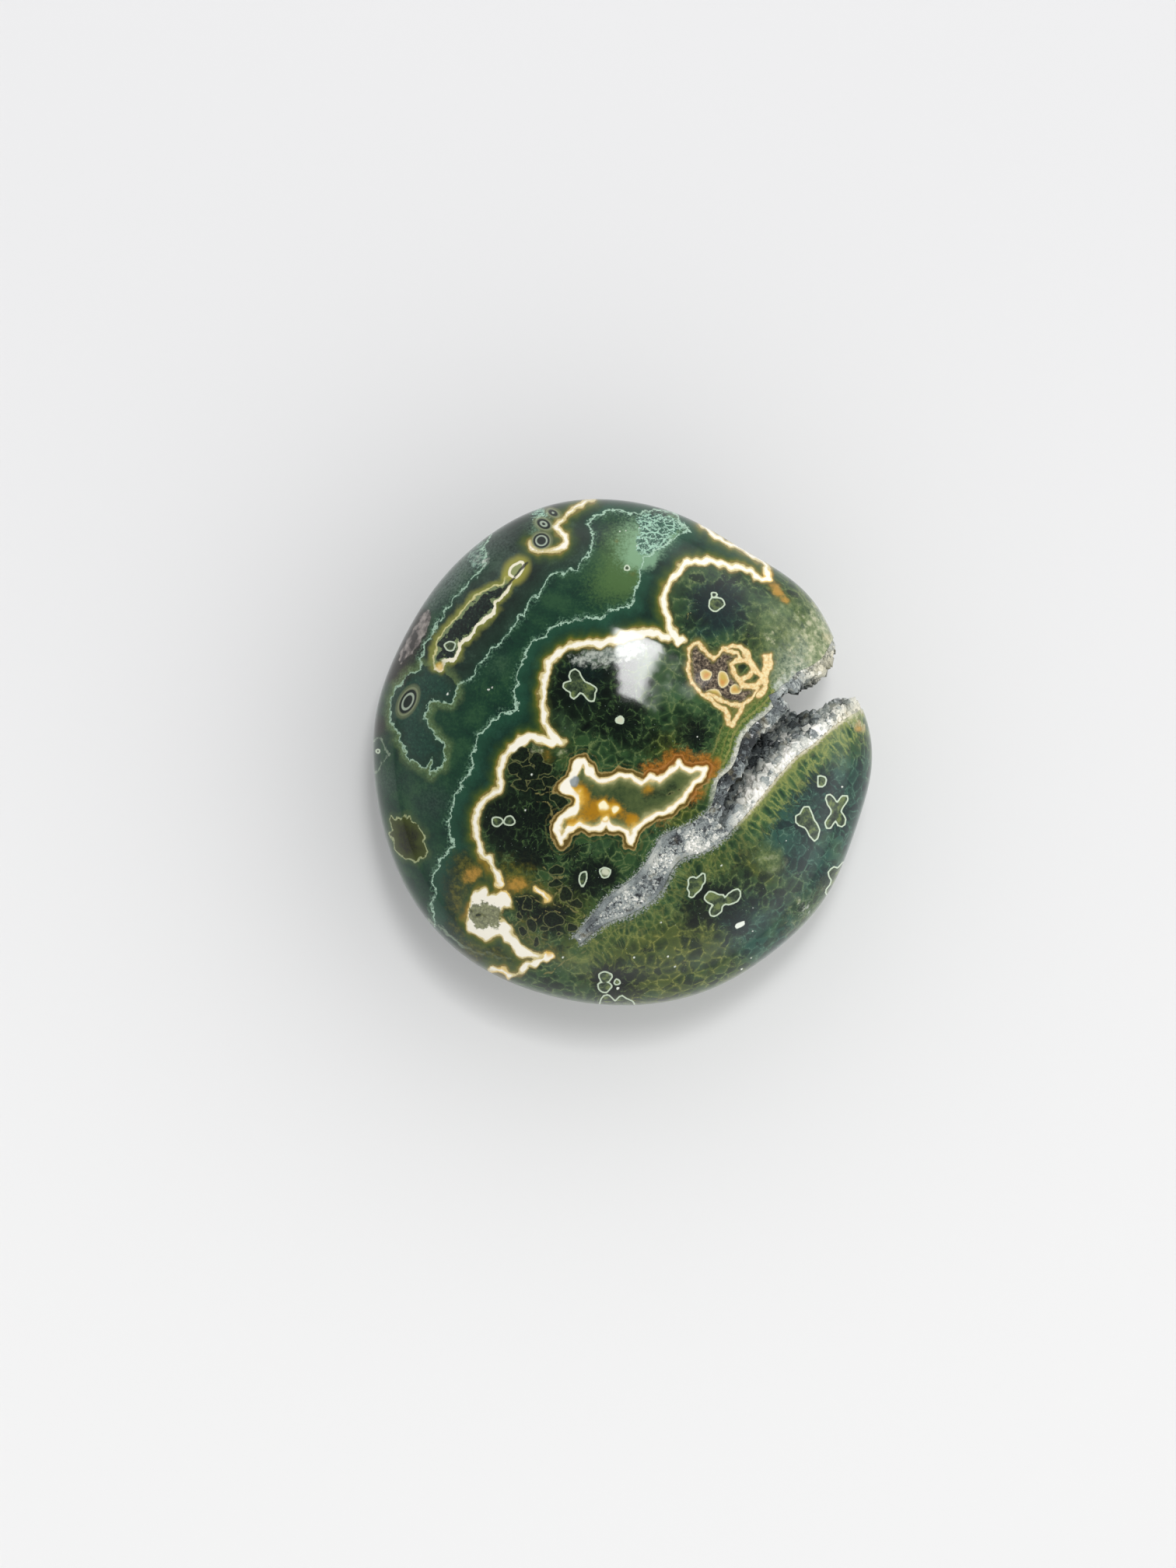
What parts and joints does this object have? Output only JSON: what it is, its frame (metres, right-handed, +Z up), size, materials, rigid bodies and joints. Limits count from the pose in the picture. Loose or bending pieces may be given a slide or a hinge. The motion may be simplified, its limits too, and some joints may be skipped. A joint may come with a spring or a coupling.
{
  "type": "palm stone",
  "caption": "Rounded, flattened and polished green agate palm stone, split on one side by a cleft lined with small quartz crystals.",
  "frame": {"origin": "middle of the bounding box's foot, on the small flat spot that the stone rests on", "axes": "+Z up out of the shown face, which is the thin way through the stone; +Y along the face to its top as shown, +X to its right, the side where the cleft opens"},
  "size_m": [0.0701, 0.0711, 0.03],
  "materials": {
    "stone": "polished",
    "quartz_crust": "natural crystal"
  },
  "bodies": {
    "root": {"stone": "stone", "quartz_crust": "quartz_crust"}
  },
  "joints": []
}
